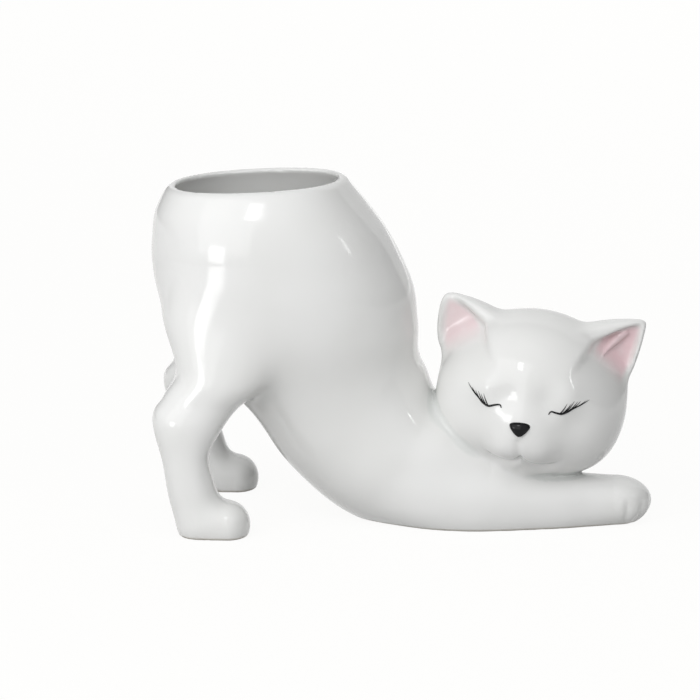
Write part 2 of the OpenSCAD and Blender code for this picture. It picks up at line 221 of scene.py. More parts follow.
def limbField(p, limb, paw=None):
    curve, table, low = limb["curve"], limb["table"], limb["box"][0]
    x, z = p[:, 0], p[:, 2]
    fx = np.clip((x - low[0]) / clay["grid"], 0, table.shape[0] - 1.001)
    fz = np.clip((z - low[2]) / clay["grid"], 0, table.shape[1] - 1.001)
    ix, iz = fx.astype(int), fz.astype(int)
    fx, fz = fx - ix, fz - iz
    t = ((table[ix, iz] * (1 - fx) + table[ix + 1, iz] * fx) * (1 - fz)
         + (table[ix, iz + 1] * (1 - fx) + table[ix + 1, iz + 1] * fx) * fz)
    t = stepAlong(curve, x, z, t)
    s, ds = alongCurve(curve, t)
    a, ahead = aheadOf(x, z, s, ds)[:2]
    b = p[:, 1] - s[:, 1]
    halfA, halfB = s[:, 3] / 2, s[:, 4] / 2
    na, nb = np.abs(a / halfA) + 1e-6, np.abs(b / halfB) + 1e-6
    full = clay["fullness"]
    q = (na ** full + nb ** full) ** (1 / full)
    reach = np.where(ahead > 0, limb["end"], limb["start"])
    past = np.where((t <= 1e-6) | (t >= len(curve[0]) - 1e-6), np.abs(ahead) / reach, 0)
    # dividing by the slope makes it a distance
    r = np.hypot(q, past)
    ga = (na / q) ** (full - 1) / halfA * q / r
    gb = (nb / q) ** (full - 1) / halfB * q / r
    gc = past / reach / r
    d = (r - 1) / np.sqrt(ga * ga + gb * gb + gc * gc)
    if paw is not None:
        d = d + toeGrooves(p, paw)
    return d


def ramp(x, low, high):
    t = np.clip((x - low) / (high - low), 0, 1)
    return t * t * (3 - 2 * t)


def within(p, box, field, *args):
    # Outside a form's own box its distance is only known to be large.
    near = np.all((p > np.array(box[0])) & (p < np.array(box[1])), axis=1)
    d = np.full(len(p), clay["farAway"])
    if near.any():
        d[near] = field(p[near], *args)
    return d


def limbWithin(p, limb, paw=None):
    return within(p, limb["box"], limbField, limb, paw)


toes = {
    "half": 6.0, "depth": 0.42,                         # degrees from a furrow's middle, and its depth
    "outwards": (5.5, 9.5), "upwards": (5.0, 9.5),      # where the furrows come in and fade out
    "near": {"x": 60.5, "y": -11.0, "angles": (-62, -35, -8, 26)},
    "far": {"x": 38.5, "y": 11.0, "angles": (-26, 8, 35, 62)},
}


def toeGrooves(p, paw):
    # shallow furrows between the toes run out from a point behind them and fade above
    x, y = p[:, 0] - paw["x"], p[:, 1] - paw["y"]
    angle, far = np.degrees(np.arctan2(y, x)), np.hypot(x, y)
    lines = np.zeros(len(p))
    for middle in paw["angles"]:
        lines = np.maximum(lines, np.exp(-((angle - middle) / toes["half"]) ** 2))
    shown = ramp(far, *toes["outwards"]) * (1 - ramp(p[:, 2], *toes["upwards"]))
    return toes["depth"] * lines * shown


trunkForm = makeLimb(trunk["line"], trunk["startReach"], trunk["endReach"], trunk["box"])
hindForm = makeLimb(hindLeg["line"], hindLeg["startReach"], hindLeg["endReach"], hindLeg["box"])
footForm = makeLimb(hindLeg["foot"], hindLeg["footStart"], hindLeg["footEnd"], hindLeg["footBox"])
nearForm = makeLimb(foreLeg["near"], foreLeg["startReach"], foreLeg["endReach"], foreLeg["nearBox"])
farForm = makeLimb(foreLeg["far"], foreLeg["startReach"], foreLeg["endReach"], foreLeg["farBox"])
print("limbs laid out")


def clayDistance(p):
    # past the neck the trunk's sections cross one another, so it ends with its box
    body = limbWithin(p, trunkForm)
    wall = trunk["wall"] + (trunk["lip"] - trunk["wall"]) * ramp(p[:, 2], *trunk["lipRise"])
    hollow = np.maximum(body + wall, trunk["wall"] - p[:, 2])
    mirrored = p * np.array([1, -1, 1])
    for side in (p, mirrored):
        # the leg's lines are written for the +Y side
        leg = unionRound(limbWithin(side, hindForm), limbWithin(side, footForm), hindLeg["ankle"])
        body = unionRound(body, leg, hindLeg["blend"])
    near, far = limbWithin(p, nearForm, toes["near"]), limbWithin(p, farForm, toes["far"])
    body = unionRound(body, unionRound(near, far, foreLeg["between"]), foreLeg["blend"])
    body = unionRound(body, within(p, skull["box"], headField), skull["neckBlend"])
    tilt = math.radians(trunk["rimTilt"])
    overRim = (p[:, 2] - trunk["rimZ"]) * math.cos(tilt) - (p[:, 0] - trunk["rimX"]) * math.sin(tilt)
    body = cutRound(body, overRim, trunk["rimRound"])
    body = cutRound(body, -hollow, trunk["rimRound"])
    return cutRound(body, -p[:, 2], clay["soleRound"])


def clayField(p):
    # short runs of points in threads: the same numbers, only sooner
    parts = np.array_split(p, max(1, len(p) // clay["batch"]))
    with ThreadPoolExecutor(clay["threads"]) as pool:
        return np.concatenate(list(pool.map(clayDistance, parts)))


# The head, in its own frame: x to the right of the face, -y out of it, z up
skull = {
    "at": (37.8, -6.0, 38.0), "roll": 8.5, "turn": 6.5,
    "width": 54.5, "height": 47.0, "depth": 48.0,
    "neckBlend": 3.0,
    "box": ((-5, -50, 5), (90, 40, 85)),
}


def headMatrix():
    return (Matrix.Translation(Vector(skull["at"]))
            @ Matrix.Rotation(math.radians(-skull["turn"]), 4, "Z")
            @ Matrix.Rotation(math.radians(skull["roll"]), 4, "Y"))


headFrame = np.array(headMatrix())
headInverse = np.linalg.inv(headFrame)


def intoHead(p):
    return p @ headInverse[:3, :3].T + headInverse[:3, 3]


def outOfHead(p):
    return p @ headFrame[:3, :3].T + headFrame[:3, 3]


def onSkull(u, v):
    # the front of the plain skull, held at one depth near its outline and past it
    inner = np.maximum(0.05, 1 - (2 * u / skull["width"]) ** 2 - (2 * v / skull["height"]) ** 2)
    return np.stack([u + 0 * v, -skull["depth"] / 2 * np.sqrt(inner), v + 0 * u], axis=-1)


face = {
    # place right and up of the middle of the face, reach, how far it stands out
    "swellings": (
        (0.2, -9.6, 9.0, 3.3),      # muzzle
        (-4.0, -12.2, 4.2, 1.7),    # its two lobes
        (5.2, -11.8, 4.4, 1.7),
        (1.0, -20.0, 4.6, 2.0),     # chin
        (-19.0, -14.0, 13.0, 3.5),  # cheeks
        (19.0, -14.0, 13.0, 3.5),
        (-6.2, 1.6, 4.6, -1.0),     # hollows beside the bridge of the nose
        (6.2, 2.2, 4.6, -1.1),
        (-14.5, -3.5, 5.0, -0.7),   # and below the eyes
        (14.0, -3.0, 5.0, -0.7),
        (-11.3, 2.9, 4.6, 1.0),     # lids
        (11.0, 3.6, 4.6, 1.0)),
    "mouthAt": (0.9, -13.5), "mouthHalf": 10.4, "mouthFall": 1.13, "mouthRise": 0.1,
    "mouthEnd": 1.15, "mouthFade": 0.5,     # shares of mouthHalf: where the crease ends, and over how much
    "mouthDepth": 0.85, "creaseHalf": 1.05,
    "lipOut": 0.3, "lipBelow": 2.4, "lipHalf": 1.3,     # the last two in half widths of the crease
    "philtrum": (-0.1, -9.0, 0.8, -13.9), "philtrumDepth": 0.55, "philtrumHalf": 0.95,
    "rounds": 8,
}


def mouthLine(u):
    # from the foot of the philtrum it dips on both sides and rises to the corners
    w = np.abs(u - face["mouthAt"][0])
    return face["mouthAt"][1] - w * (face["mouthFall"] - face["mouthRise"] * w)


def bump(p, at, reach, out):
    return out * np.exp(-(np.sum((p - at) ** 2, axis=1)) / reach ** 2)


def faceRadius(d):
    half = np.array([skull["width"], skull["depth"], skull["height"]]) / 2
    base = 1 / np.sqrt(np.sum((d / half) ** 2, axis=1))
    p = d * base[:, None]
    r = base.copy()
    for u, v, reach, out in face["swellings"]:
        r += bump(p, onSkull(np.array(u), np.array(v)), reach, out)
    front = p[:, 1] < 0
    w = np.abs(p[:, 0] - face["mouthAt"][0]) / face["mouthHalf"]
    fade = ramp(face["mouthEnd"] - w, 0, face["mouthFade"])
    below = (p[:, 2] - mouthLine(p[:, 0])) / face["creaseHalf"]
    r -= face["mouthDepth"] * np.exp(-below ** 2) * fade * front
    r += face["lipOut"] * np.exp(-((below + face["lipBelow"]) / face["lipHalf"]) ** 2) * fade * front
    u0, v0, u1, v1 = face["philtrum"]
    t = np.clip((p[:, 2] - v0) / (v1 - v0), 0, 1)
    off = np.hypot(p[:, 0] - (u0 + (u1 - u0) * t), p[:, 2] - (v0 + (v1 - v0) * t)) / face["philtrumHalf"]
    return r - face["philtrumDepth"] * np.exp(-off ** 2) * front


def skullField(q):
    r = np.linalg.norm(q, axis=1) + 1e-6
    return r - faceRadius(q / r[:, None])


# Each ear is drawn flat, x out from the crown and z up from the root, by two arcs that meet in a round tip.
# An arc is two points and how far it bulges past the line between them.
ear = {
    "u": 20.2, "y": 1.0, "v": 13.6, "splay": 38.0, "turn": 14.0, "back": -4.0,
    "rootHalf": 4.3, "tipHalf": 2.0, "tall": 14.0, "roundOver": 4.2, "blend": 3.4,
    "touches": (1, 28, -2),         # an ear lies past this u, within this y and above this v
    # the hollow, whose floor sinks from a point (z, y) at the root to the wall left behind it
    "outerEdge": 1.5, "hollowFrom": (-4.2, -13.4), "hollowSlope": 2.2, "hollowRound": 8.5,
    "wallMore": 1.3, "wallMoreOver": (-6, 9), "corner": 2.5, "floorShare": 0.8,
    "crownSoftOver": (-5, 3), "rootSoft": 2.4, "rootSoftOver": (-4, 5),
    # by side: the blade's arcs and tip, the hollow's inner arc, the wall, how soft the hollow's edge is
    # towards the crown and at the rim, and whether a fold stands in it
    -1: {"inner": ((-10.7, 0.8), (-1.6, 12.0), 0.7), "outer": ((11.2, -2.0), (4.2, 11.8), 1.2), "tip": 4.5,
         "hollow": ((-6.0, -4.0), (-1.2, 10.2), 0.8), "wall": 3.0, "soft": (2.6, 1.2), "folded": False},
    1: {"inner": ((-11.4, 1.6), (-2.4, 13.2), 0.6), "outer": ((9.8, -3.4), (1.2, 13.7), 0.7), "tip": 3.0,
        "hollow": ((-7.4, -4.0), (-2.6, 10.4), 0.9), "wall": 2.4, "soft": (1.3, 1.0), "folded": True},
}
fold = {
    "from": (-3.5, -5.0), "to": (-1.9, 8.8), "thick": 1.75, "taper": 0.45,
    "sunk": -0.1, "flat": 0.7, "round": 2.0, "fade": 3.0, "fadeOver": 10.0,
}


def earMatrix(side):
    # turned so that x runs out from the crown on both ears
    return (Matrix.Translation(Vector((side * ear["u"], ear["y"], ear["v"])))
            @ Matrix.Rotation(math.radians(side * ear["splay"]), 4, "Y")
            @ Matrix.Rotation(math.radians(ear["back"]), 4, "X")
            @ Matrix.Rotation(math.radians(side * ear["turn"]), 4, "Z"))


def intoEar(q, side):
    m = np.array(earMatrix(side).inverted())
    return (q @ m[:3, :3].T + m[:3, 3]) * np.array([side, 1, 1])


def arcSide(x, z, arc, outward):
    # distance beyond an arc through two points that bulges outward by its rise
    (x0, z0), (x1, z1), rise = arc
    chord = math.hypot(x1 - x0, z1 - z0)
    radius = chord * chord / (8 * rise) + rise / 2
    nx, nz = outward * (z1 - z0) / chord, -outward * (x1 - x0) / chord
    cx, cz = (x0 + x1) / 2 - nx * (radius - rise), (z0 + z1) / 2 - nz * (radius - rise)
    return np.hypot(x - cx, z - cz) - radius


def meetRound(a, b, k):
    # inside both forms, with the edge eased over k
    return -unionRound(-a, -b, k)


def earHalf(e):
    share = np.clip(e[:, 2] / ear["tall"], -0.5, 1)     # it still thickens a little below the root
    return ear["rootHalf"] + (ear["tipHalf"] - ear["rootHalf"]) * share


def earHollow(e, side):
    # how far outside the hollow's outline a place lies, and how far behind its floor
    shape = ear[side]
    outer = arcSide(e[:, 0], e[:, 2], shape["outer"], 1) + ear["outerEdge"]
    inner = arcSide(e[:, 0], e[:, 2], shape["hollow"], -1)
    back = earHalf(e) - shape["wall"] - ear["wallMore"] * ramp(e[:, 0], *ear["wallMoreOver"])
    z0, y0 = ear["hollowFrom"]
    slope = ear["hollowSlope"]
    sinking = (e[:, 1] - y0 - slope * (e[:, 2] - z0)) / math.hypot(1, slope)
    return meetRound(inner, outer, ear["corner"]), meetRound(sinking, e[:, 1] - back, ear["hollowRound"])


def foldField(e, front):
    # the fold runs up the hollow beside the thick inner edge and fades in above its root
    (x0, z0), (x1, z1) = fold["from"], fold["to"]
    t = np.clip((e[:, 2] - z0) / (z1 - z0), 0, 1)
    thick = fold["thick"] * (1 - fold["taper"] * t)
    thick = thick - fold["fade"] * (1 - ramp(e[:, 2], z0, z0 + fold["fadeOver"]))
    ridge = np.hypot(e[:, 0] - (x0 + (x1 - x0) * t), (front + fold["sunk"]) * fold["flat"]) - thick
    return meetRound(ridge, e[:, 2] - z1, fold["round"])


def addEar(head, q, side):
    e = intoEar(q, side)
    shape = ear[side]
    flat = meetRound(arcSide(e[:, 0], e[:, 2], shape["inner"], -1),
                     arcSide(e[:, 0], e[:, 2], shape["outer"], 1), shape["tip"])
    blade = meetRound(flat, np.abs(e[:, 1]) - earHalf(e), ear["roundOver"])
    head = unionRound(head, blade, ear["blend"])
    outline, front = earHollow(e, side)
    atCrown, atRim = shape["soft"]
    soft = atRim + (atCrown - atRim) * (1 - ramp(e[:, 0], *ear["crownSoftOver"]))
    soft = soft + ear["rootSoft"] * (1 - ramp(e[:, 2], *ear["rootSoftOver"]))
    head = cutRound(head, -meetRound(outline, front * ear["floorShare"], ear["corner"]), soft)
    if shape["folded"]:
        head = unionRound(head, foldField(e, front), fold["round"])
    return head


def headField(p):
    q = intoHead(p)
    head = skullField(q)
    u, y, v = ear["touches"]
    for side in (-1, 1):
        near = (side * q[:, 0] > u) & (np.abs(q[:, 1]) < y) & (q[:, 2] > v)
        if near.any():
            head[near] = addEar(head[near], q[near], side)
    return head


# From the field to a mesh
skin = {
    "voxel": 1.08,
    "low": (-80, -44, -4), "high": (80, 44, 106),
    "band": 3.6, "clip": 3.0,       # voxels about the form that are worked out in full, and the field's limit
    "relax": 3, "drift": 0.5, "slide": 0.3, "lastSlide": 0.2,
    "poolRounds": 6, "poolFull": 0.05,
    # places that get a mesh twice as fine: middle and reach
    "fine": (((16.0, -8.0, 56.0), 15.5), ((58.0, -8.0, 52.0), 15.5), ((34.0, -30.0, 24.0), 15.0),
             ((33.0, -30.0, 37.0), 14.0), ((68.0, -12.0, 9.0), 10.0), ((46.0, 11.0, 9.0), 9.0),
             ((-50.0, -29.0, 4.0), 9.0), ((-50.0, 29.0, 4.0), 9.0)),
}


def fieldSlope(p, step=0.06):
    # four corners of a small tetrahedron give the whole slope
    g = np.zeros_like(p)
    for corner in ((1, 1, 1), (1, -1, -1), (-1, 1, -1), (-1, -1, 1)):
        corner = np.array(corner, float)
        g += clayField(p + step * corner)[:, None] * corner
    return g / (4 * step)


def settle(p, g, rounds, reach):
    # points move on to the surface along the slope g, by reach at most in a round
    size = np.sum(g * g, axis=1) + 1e-9
    for i in range(rounds):
        move = -(clayField(p) / size)[:, None] * g
        length = np.linalg.norm(move, axis=1) + 1e-12
        p = p + move * np.minimum(1, reach / length)[:, None]
    return p


def gridField(low, high, voxel):
    axes = [np.arange(l, h, voxel) for l, h in zip(low, high)]
    coarse = [a[::2] for a in axes]
    grid = np.stack(np.meshgrid(*coarse, indexing="ij"), axis=-1)
    rough = clayField(grid.reshape(-1, 3)).reshape(grid.shape[:3])
    rough = rough.repeat(2, 0).repeat(2, 1).repeat(2, 2)
    rough = rough[:len(axes[0]), :len(axes[1]), :len(axes[2])]
    band = np.abs(rough) < skin["band"] * voxel
    index = np.argwhere(band)
    p = np.stack([axes[i][index[:, i]] for i in range(3)], axis=-1)
    fine = np.clip(rough, -skin["clip"], skin["clip"])
    fine[band] = clayField(p)
    return fine.astype(np.float32)


def facesFromField(low, high, voxel):
    values = gridField(low, high, voxel)
    grid = openvdb.FloatGrid(skin["clip"])
    grid.copyFromArray(values)
    points, triangles, quads = grid.convertToPolygons(0.0, 0.0)
    points = points.astype(float) * voxel + np.array(low)
    return points, [tuple(f) for f in quads.tolist()] + [tuple(f) for f in triangles.tolist()]


def edgesOf(mesh):
    edges = np.empty(len(mesh.edges) * 2, int)
    mesh.edges.foreach_get("vertices", edges)
    return edges.reshape(-1, 2)


def pointsOf(mesh):
    co = np.empty(len(mesh.vertices) * 3)
    mesh.vertices.foreach_get("co", co)
    return co.reshape(-1, 3)


def neighbourMean(mesh, values):
    a, b = edgesOf(mesh).T
    count = np.bincount(np.concatenate([a, b]), minlength=len(values))
    total = [np.bincount(a, v[b], len(values)) + np.bincount(b, v[a], len(values)) for v in values.T]
    return np.stack(total, axis=-1) / count[:, None]


def relax(mesh, p, rounds):
    # points drift over the surface to the middle of their neighbours, on a slope renewed every other round
    for i in range(rounds):
        drift = skin["drift"] * (neighbourMean(mesh, p) - p)
        if i % 2 == 0:
            g = fieldSlope(p)
        n = g / (np.linalg.norm(g, axis=1)[:, None] + 1e-9)
        drift -= np.sum(drift * n, axis=1)[:, None] * n
        p = settle(p + drift, g, 1, skin["slide"])
    return p


def chooseFine(centres):
    chosen = np.zeros(len(centres), bool)
    for middle, reach in skin["fine"]:
        chosen |= np.sum((centres - np.array(middle)) ** 2, axis=1) < reach ** 2
    return chosen


def largestPiece(bm):
    # stray crumbs of the field are left out
    seen, best = set(), []
    for start in bm.verts:
        if start in seen:
            continue
        group, queue = [], [start]
        seen.add(start)
        while queue:
            vert = queue.pop()
            group.append(vert)
            for edge in vert.link_edges:
                other = edge.other_vert(vert)
                if other not in seen:
                    seen.add(other)
                    queue.append(other)
        if len(group) > len(best):
            best = group
    keep = set(best)
    bmesh.ops.delete(bm, geom=[v for v in bm.verts if v not in keep], context="VERTS")


def skinMesh():
    points, faces = facesFromField(skin["low"], skin["high"], skin["voxel"])
    mesh = bpy.data.meshes.new("glazedCat")
    mesh.from_pydata(points.tolist(), [], faces)
    bm = bmesh.new()
    bm.from_mesh(mesh)
    largestPiece(bm)
    centres = np.array([f.calc_center_median()[:] for f in bm.faces])
    edges = dict.fromkeys(e for f, c in zip(bm.faces, chooseFine(centres)) if c for e in f.edges)
    bmesh.ops.subdivide_edges(bm, edges=list(edges), cuts=1, use_grid_fill=True)
    bmesh.ops.triangulate(bm, faces=[f for f in bm.faces if len(f.verts) > 4])
    bm.to_mesh(mesh)
    bm.free()
    print("skin polygons", len(mesh.polygons))
    return mesh


def poolOf(mesh, p, n):
    # where the surface is hollow the glaze runs together
    hollow = np.sum((neighbourMean(mesh, p) - p) * n, axis=1)[:, None]
    for i in range(skin["poolRounds"]):
        hollow = neighbourMean(mesh, hollow)
    return np.clip(hollow[:, 0] / skin["poolFull"], 0, 1)


def addAttribute(mesh, name, values):
    mesh.attributes.new(name, "FLOAT", "POINT").data.foreach_set("value", values.astype(np.float32))


def faceOut(mesh, n):
    facing = np.empty(len(mesh.polygons) * 3)
    mesh.polygons.foreach_get("normal", facing)
    firsts = np.array([f.vertices[0] for f in mesh.polygons])
    if np.sum(facing.reshape(-1, 3) * n[firsts]) < 0:
        mesh.flip_normals()


def finishPiece(name, mesh, normals=None):
    # Lengths are millimetres until here. Normals, where given, come from the form itself.
    mesh.transform(Matrix.Scale(mm, 4))
    mesh.polygons.foreach_set("use_smooth", [True] * len(mesh.polygons))
    if normals is not None:
        mesh.normals_split_custom_set_from_vertices(normals.tolist())
    return addObject(name, mesh)


def makeSkin():
    mesh = skinMesh()
    p = pointsOf(mesh)
    p = settle(p, fieldSlope(p), 1, 0.5 * skin["voxel"])
    p = relax(mesh, p, skin["relax"])
    p = settle(p, fieldSlope(p), 2, skin["lastSlide"])
    mesh.vertices.foreach_set("co", p.ravel())
    mesh.update()
    n = fieldSlope(p)
    n /= np.linalg.norm(n, axis=1)[:, None]
    faceOut(mesh, n)
    addAttribute(mesh, "pool", poolOf(mesh, p, n))
    return finishPiece("glazedCat", mesh, n), p, n


# The blush in each ear: a thin closed skin in the hollow, whose edge dives under the white glaze
blush = {
    "lift": 0.1, "dive": 0.14, "liftAt": 0.25, "thick": 0.7,
    "edge": (0.9, -2.2),            # from outside the hollow's edge to inside it
    "root": (-5.0, 2.5), "backEdge": (0.6, 1.4),
    "room": (16, -15, 16),          # how far sideways, forwards and up from the ear's root it may lie
    "facing": 0.6,                  # and how far its surface may face backwards
    "least": 0.004,                 # faces with less blush at a corner are left out
    "strength": {-1: 0.62, 1: 1.0},
}


def blushWeight(p, n, side):
    e = intoEar(intoHead(p), side)
    outline = earHollow(e, side)[0]
    reach = ramp(outline, *blush["edge"]) * ramp(e[:, 2], *blush["root"])
    ahead = ramp(earHalf(e) - e[:, 1], *blush["backEdge"])
    half, front, top = blush["room"]
    facing = (n @ headFrame[:3, :3])[:, 1] < blush["facing"]
    near = (np.abs(e[:, 0]) < half) & (e[:, 2] < top) & facing & (e[:, 1] > front)
    return reach * ahead * near


def makeBlush(name, cat, p, n, side):
    weight = blushWeight(p, n, side)
    picked = [tuple(f.vertices) for f in cat.data.polygons
              if min(weight[v] for v in f.vertices) > blush["least"]]
    used = np.unique(np.concatenate([np.array(f) for f in picked]))
    place = {int(v): i for i, v in enumerate(used)}
    count = len(used)
    w = weight[used]
    risen = ramp(w, 0.0, blush["liftAt"])
    lift = blush["lift"] * risen - blush["dive"] * (1 - risen)
    front = p[used] + n[used] * lift[:, None]
    back = p[used] - n[used] * blush["thick"]
    faces = [tuple(place[v] for v in f) for f in picked]
    edges = dict.fromkeys((a, b) for f in faces for a, b in zip(f, f[1:] + f[:1]))
    rim = [(b, a, a + count, b + count) for a, b in edges if (b, a) not in edges]
    mesh = bpy.data.meshes.new(name)
    mesh.from_pydata(np.vstack([front, back]).tolist(), [],
                     faces + [tuple(v + count for v in reversed(f)) for f in faces] + rim)
    normals = np.vstack([n[used], -n[used]])
    addAttribute(mesh, "blush", np.concatenate([w, w]) * blush["strength"][side])
    return finishPiece(name, mesh, normals)


# Places on the face from u to the right and v up
def onFace(u, v, lift=0.0):
    # the point of the face behind each place, found in rounds, and the way out of the head there
    p = onSkull(np.asarray(u, float), np.asarray(v, float))
    for i in range(face["rounds"]):
        d = p / np.linalg.norm(p, axis=-1, keepdims=True)
        r = faceRadius(d)
        p[:, 1] = -np.sqrt(np.maximum(r * r - u * u - v * v, 1.0))
    d = p / np.linalg.norm(p, axis=-1, keepdims=True)
    return outOfHead(p + d * lift), d @ headFrame[:3, :3].T


nose = {
    "u": -0.35, "v": -6.35, "width": 6.0, "height": 4.35, "flare": 0.36, "brow": 0.2, "turn": 5.0,
    "out": 1.15, "dome": 2.2, "dive": 0.45, "diveFrom": 0.8, "root": 1.2, "rings": 14, "sides": 56,
    "nostril": (1.55, -0.35, 0.42, 0.22),   # out, up, reach and depth
    "nostrilFlat": 2.2,
}


def makeNose():
    rings, sides = nose["rings"], nose["sides"]
    r = np.repeat(np.linspace(0, 1, rings + 1)[1:], sides)
    b = np.tile(np.arange(sides) * 2 * np.pi / sides, rings)
    r, b = np.concatenate([[0.0], r]), np.concatenate([[0.0], b])
    x = nose["width"] / 2 * r * np.cos(b) * (1 + nose["flare"] * np.sin(b))
    y = nose["height"] / 2 * r * (np.sin(b) + nose["brow"] * np.cos(b) ** 2)
    height = nose["out"] * np.sqrt(np.maximum(0, 1 - r ** nose["dome"]))
    height -= nose["dive"] * ramp(r, nose["diveFrom"], 1.0)
    nu, nv, reach, deep = nose["nostril"]
    height -= deep * np.exp(-((np.abs(x) - nu) ** 2 + (y - nv) ** 2 * nose["nostrilFlat"]) / reach ** 2)
    turn = math.radians(nose["turn"])
    u = nose["u"] + x * math.cos(turn) - y * math.sin(turn)
    v = nose["v"] + x * math.sin(turn) + y * math.cos(turn)
    front, d = onFace(u, v)
    front = front + d * height[:, None]
    last = np.arange(1 + (rings - 1) * sides, 1 + rings * sides)
    back = front[last] - d[last] * nose["root"]
    points = np.vstack([front, back, back.mean(axis=0)])
    ring = np.arange(sides)
    faces = [(0, 1 + int(i), 1 + int((i + 1) % sides)) for i in ring]
    for k in range(rings):
        for i in ring:
            a, c = 1 + k * sides + int(i), 1 + k * sides + int((i + 1) % sides)
            faces.append((a, a + sides, c + sides, c))
    first = 1 + rings * sides
    faces += [(first + int((i + 1) % sides), first + int(i), first + sides) for i in ring]
    mesh = bpy.data.meshes.new("noseTip")
    mesh.from_pydata(points.tolist(), [], faces)
    bm = bmesh.new()
    bm.from_mesh(mesh)
    bmesh.ops.recalc_face_normals(bm, faces=bm.faces)
    bm.to_mesh(mesh)
    bm.free()
    return finishPiece("noseTip", mesh)


# Closed eyes: a brush line along the lid and fine hairs that fan up from its outer end
lashes = {
    # by side: the lid's line from its inner end, and where on it the hairs stand, their degrees and lengths
    -1: {"line": ((-6.6, -1.5), (-7.2, -0.75), (-8.7, -1.1), (-10.3, -1.75), (-11.9, -1.4),
                  (-13.5, -0.3), (-15.2, 1.3)),
         "from": 0.52, "to": 0.93, "lean": (108, 134), "long": (3.2, 4.2)},
    1: {"line": ((7.0, -1.1), (7.6, -0.2), (9.0, -0.4), (10.5, -0.5), (11.9, 0.1),
                 (13.3, 1.1), (14.6, 2.1)),
        "from": 0.46, "to": 0.93, "lean": (70, 46), "long": (3.2, 4.3)},
    "lineWidth": 0.6, "lineShares": (0.5, 0.75, 0.95, 1.1, 1.0, 0.7, 0.25), "lineSteps": 48,
    "hairWidth": 0.36, "hairShares": (1.0, 0.95, 0.75, 0.5, 0.15), "hairSteps": 14,
    "hairs": 7, "hairBend": 14, "hairStray": 5, "hairVary": (0.85, 1.1), "seed": 5,
    "lift": 0.04, "thinnest": 0.02, "sides": 8, "brushLoad": 1.0,
}


def brushStroke(places, width, shares, steps):
    # a smooth curve over the face through places (u, v), with its half width along it
    curve = curveOf([(u, v, share * width) for (u, v), share in zip(places, shares)])
    s = alongCurve(curve, np.linspace(0, len(places) - 1, steps))[0]
    points = onFace(s[:, 0], s[:, 1], lashes["lift"])[0]
    return points, np.maximum(s[:, 2], lashes["thinnest"]) / 2


def lashStrokes(side):
    eye = lashes[side]
    line = eye["line"]
    strokes = [brushStroke(line, lashes["lineWidth"], lashes["lineShares"], lashes["lineSteps"])]
    chance = np.random.default_rng(lashes["seed"] + side)
    curve = curveOf(line)
    parts = len(lashes["hairShares"]) - 1
    stray = lashes["hairStray"]
    (leanFrom, leanTo), (shortest, longest) = eye["lean"], eye["long"]
    for k in range(lashes["hairs"]):
        share = k / (lashes["hairs"] - 1)
        t = (eye["from"] + (eye["to"] - eye["from"]) * share) * (len(line) - 1)
        root = alongCurve(curve, np.array([t]))[0]
        angle = leanFrom + (leanTo - leanFrom) * share + chance.uniform(-stray, stray)
        # the hairs in the middle are the longest
        length = shortest + (longest - shortest) * math.sin(math.pi * (0.2 + 0.6 * share))
        length *= chance.uniform(*lashes["hairVary"])
        places = [tuple(root[0])]
        for j in range(parts):
            a = math.radians(angle + side * lashes["hairBend"] * (j - parts + 1) / (parts - 1))
            u, v = places[-1]
            places.append((u + length / parts * math.cos(a), v + length / parts * math.sin(a)))
        strokes.append(brushStroke(places, lashes["hairWidth"], lashes["hairShares"], lashes["hairSteps"]))
    return strokes


def brushTree(material):
    # Geometry Nodes: each stroke's path is swept by a round section that is scaled to its half width
    tree = bpy.data.node_groups.new("brushStrokes", "GeometryNodeTree")
    sockets = tree.interface
    sockets.new_socket("Geometry", in_out="INPUT", socket_type="NodeSocketGeometry")
    sides = sockets.new_socket("Sides", in_out="INPUT", socket_type="NodeSocketInt")
    load = sockets.new_socket("Brush Load", in_out="INPUT", socket_type="NodeSocketFloat")
    sides.default_value, load.default_value = lashes["sides"], lashes["brushLoad"]
    sockets.new_socket("Geometry", in_out="OUTPUT", socket_type="NodeSocketGeometry")
    nodes, link = tree.nodes, tree.links.new
    start, end = nodes.new("NodeGroupInput"), nodes.new("NodeGroupOutput")
    curve = nodes.new("GeometryNodeMeshToCurve")
    link(start.outputs["Geometry"], curve.inputs["Mesh"])
    half = nodes.new("GeometryNodeInputNamedAttribute")
    half.data_type = "FLOAT"
    half.inputs["Name"].default_value = "half"
    loaded = nodes.new("ShaderNodeMath")
    loaded.operation = "MULTIPLY"
    link(half.outputs["Attribute"], loaded.inputs[0])
    link(start.outputs["Brush Load"], loaded.inputs[1])
    section = nodes.new("GeometryNodeCurvePrimitiveCircle")
    section.inputs["Radius"].default_value = 1.0
    link(start.outputs["Sides"], section.inputs["Resolution"])
    sweep = nodes.new("GeometryNodeCurveToMesh")
    link(curve.outputs["Curve"], sweep.inputs["Curve"])
    link(section.outputs["Curve"], sweep.inputs["Profile Curve"])
    sweep.inputs["Fill Caps"].default_value = True
    link(loaded.outputs["Value"], sweep.inputs["Scale"])
    real = nodes.new("GeometryNodeRealizeInstances")
    link(sweep.outputs["Mesh"], real.inputs["Geometry"])
    paint = nodes.new("GeometryNodeSetMaterial")
    paint.inputs["Material"].default_value = material
    link(real.outputs["Geometry"], paint.inputs["Geometry"])
    link(paint.outputs["Geometry"], end.inputs["Geometry"])
    return tree, sides.identifier, load.identifier


